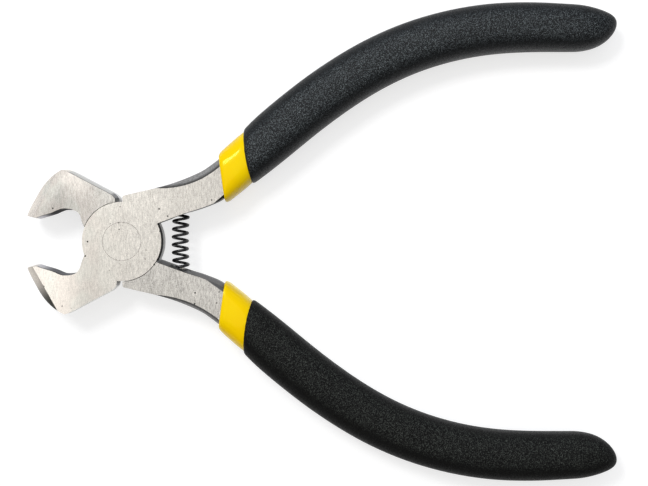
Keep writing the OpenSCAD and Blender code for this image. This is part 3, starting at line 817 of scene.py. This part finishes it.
# Share of the run, share of the width and share of the depth.
GRIP_SHARES = [(0, 0.905, 0.975), (0.012, 0.935, 0.99), (0.05, 0.975, 1), (0.1, 1, 1), (0.17, 1, 1),
               (0.25, 1.005, 1), (0.33, 1, 1), (0.42, 0.995, 0.99), (0.51, 0.99, 0.98), (0.6, 0.985, 0.975),
               (0.7, 0.98, 0.97), (0.8, 0.975, 0.965), (0.9, 0.955, 0.955), (0.96, 0.93, 0.94),
               (1, 0.915, 0.92)]
NOSE_SHARES = [sin(pi / 2 * k / NOSE_RINGS) for k in range(1, NOSE_RINGS)] + [NOSE_END]


def grip_stations(inset=0.0):
    """Stations of the grip's outside, or of a skin inside it."""
    stations = []
    for share, width, depth in GRIP_SHARES:
        fade = max(0, 1 - share / SLANT_SHARE)
        stations.append((COLLAR_RUN + share * (HANDLE_RUN - NOSE_RUN - COLLAR_RUN),
                         GRIP_WIDTH * width - 2 * inset, GRIP_DEPTH * depth - 2 * inset, SQUARENESS,
                         SLANT * fade, SEAM_BULGE * fade, 0.0))
    width, depth = GRIP_SHARES[-1][1:]
    for share in NOSE_SHARES:
        narrow = (1 - share ** NOSE_POWER) ** (1 / NOSE_POWER)
        thin = (1 - share ** NOSE_POWER_DEEP) ** (1 / NOSE_POWER_DEEP)
        stations.append((HANDLE_RUN - (1 - share) * NOSE_RUN - inset * share,
                         (GRIP_WIDTH * width - 2 * inset) * narrow, (GRIP_DEPTH * depth - 2 * inset) * thin,
                         SQUARENESS, 0.0, 0.0, NOSE_LEAN * share ** NOSE_LEAN_POWER))
    return stations


print("grip:", len(grip_stations()), "stations")

# %% Stations of the sleeve
COLLAR_WIDTH, COLLAR_DEPTH = 7.95 * MM, 9.2 * MM
HIDDEN_FROM = 2
# Share of the run, share of the width, share of the depth, and squareness.
COLLAR_SHARES = [(0, 0.87, 0.915, 4.2), (0.03, 0.905, 0.94, 4.0), (0.13, 0.95, 0.972, 3.4),
                 (0.25, 0.965, 0.982, 3.1), (0.6, 0.98, 0.99, 2.75), (1, 1, 1, SQUARENESS)]


def sleeve_stations():
    """Stations of the sleeve: its collar, and a skin that runs on under the grip."""
    collar = [(share * COLLAR_RUN, COLLAR_WIDTH * width, COLLAR_DEPTH * depth, squareness,
               SLANT, SEAM_BULGE * share, 0.0) for share, width, depth, squareness in COLLAR_SHARES]
    return collar + grip_stations(GRIP_WALL)[HIDDEN_FROM:]


print("sleeve:", len(sleeve_stations()), "stations")

# %% Make both handles
for side, place, body, black in (("upper", UPPER, "front_lever", UPPER_BLACK),
                                 ("lower", LOWER, "rear_lever", LOWER_BLACK)):
    sleeve = loft(side + "_sleeve", sleeve_stations(), place, YELLOW, body, side + "_inner_sleeve")
    grip = loft(side + "_grip", grip_stations(), place, black, body, side + "_outer_grip")

# %% [markdown]
# ## Spring
# The spring is one wire wound on a round bar. A curve with a bevel could make it, but Spin with a
# step along its axis does what the winding machine does: a small circle goes round and moves up a
# pitch a turn. Pushed by the two handles the spring bows a little towards the rivet, so its points
# are then shifted by a parabola.

# %% Wind the spring
SPRING_X = 10.05 * MM
COIL_DIAMETER, WIRE_DIAMETER = 3.05 * MM, 0.5 * MM
SPRING_LENGTH = 11.8 * MM
TURNS = 8.25
WIRE_SIDES = 12
STEPS_A_TURN = 32
WELD = 0.001 * MM

coil_radius = (COIL_DIAMETER - WIRE_DIAMETER) / 2
rise = SPRING_LENGTH - WIRE_DIAMETER
steps = round(TURNS * STEPS_A_TURN)

bm = bmesh.new()
bmesh.ops.create_circle(bm, segments=WIRE_SIDES, radius=WIRE_DIAMETER / 2, cap_ends=False)
bmesh.ops.rotate(bm, verts=bm.verts, cent=(0, 0, 0), matrix=Matrix.Rotation(pi / 2, 3, "X"))
bmesh.ops.translate(bm, verts=bm.verts, vec=(coil_radius, 0, 0))
bmesh.ops.spin(bm, geom=bm.verts[:] + bm.edges[:], cent=(0, 0, 0), axis=(0, 0, 1),
               dvec=(0, 0, rise / steps), angle=2 * pi * TURNS, steps=steps, use_merge=False,
               use_duplicate=False)
bmesh.ops.remove_doubles(bm, verts=bm.verts, dist=WELD)
bmesh.ops.holes_fill(bm, edges=bm.edges, sides=WIRE_SIDES)
bmesh.ops.recalc_face_normals(bm, faces=bm.faces)
for face in bm.faces:
    face.smooth = True
print("wire of", len(bm.verts), "points,", TURNS, "turns")

# %% Set the spring between the necks
SPRING_START = radians(-70)
SPRING_BOW = 0.25 * MM

to_place = (Matrix.Translation((SPRING_X, 0, MID_Z)) @ Matrix.Rotation(-pi / 2, 4, "X")
            @ Matrix.Rotation(SPRING_START, 4, "Z") @ Matrix.Translation((0, 0, -rise / 2)))
bmesh.ops.transform(bm, matrix=to_place, verts=bm.verts)
for vert in bm.verts:
    share = vert.co.y / rise
    vert.co.x -= SPRING_BOW * (1 - 4 * share * share)
spring_mesh = bpy.data.meshes.new("spring")
bm.to_mesh(spring_mesh)
bm.free()
spring = bpy.data.objects.new("spring", spring_mesh)
bpy.context.scene.collection.objects.link(spring)
print("spring of", len(spring_mesh.polygons), "faces")

# %% [markdown]
# Spring wire is blued or blackened steel. The black layer hides the metal, so it is a dark, half
# glossy coat and not a mirror, with a faint noise for where the coat is thin.

# %% Spring's finish
WIRE_BLACK = (0.003, 0.003, 0.003)
WIRE_WORN = (0.02, 0.02, 0.022)
WIRE_NOISE, WIRE_ROUGH = (0.3, 0.7), (0.35, 0.5)

material, tree = new_material("black_spring_wire")
place = add(tree, "ShaderNodeTexCoord")
drawn = add(tree, "ShaderNodeTexNoise", in_Scale=2500.0, in_Detail=3.0)
coat = add(tree, "ShaderNodeBsdfPrincipled", in_Metallic=0.0, in_IOR=1.5)
out = add(tree, "ShaderNodeOutputMaterial")
wire(tree, (place.outputs["Object"], drawn.inputs["Vector"]),
     (mix(tree, drawn.outputs["Fac"], WIRE_BLACK, WIRE_WORN), coat.inputs["Base Color"]),
     (ramp(tree, drawn.outputs["Fac"], *WIRE_NOISE, *WIRE_ROUGH), coat.inputs["Roughness"]),
     (coat.outputs[0], out.inputs["Surface"]))
spring_mesh.materials.append(material)

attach(spring, "rear_lever")
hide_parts("return_spring")
print("spring wears", material.name)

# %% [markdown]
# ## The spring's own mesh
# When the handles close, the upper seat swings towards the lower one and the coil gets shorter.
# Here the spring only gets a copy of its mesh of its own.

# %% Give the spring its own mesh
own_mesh(spring)

# %% [markdown]
# ## Finish
# The picture uses the Standard view transform.

# %% Set the view transform
bpy.context.scene.view_settings.view_transform = "Standard"
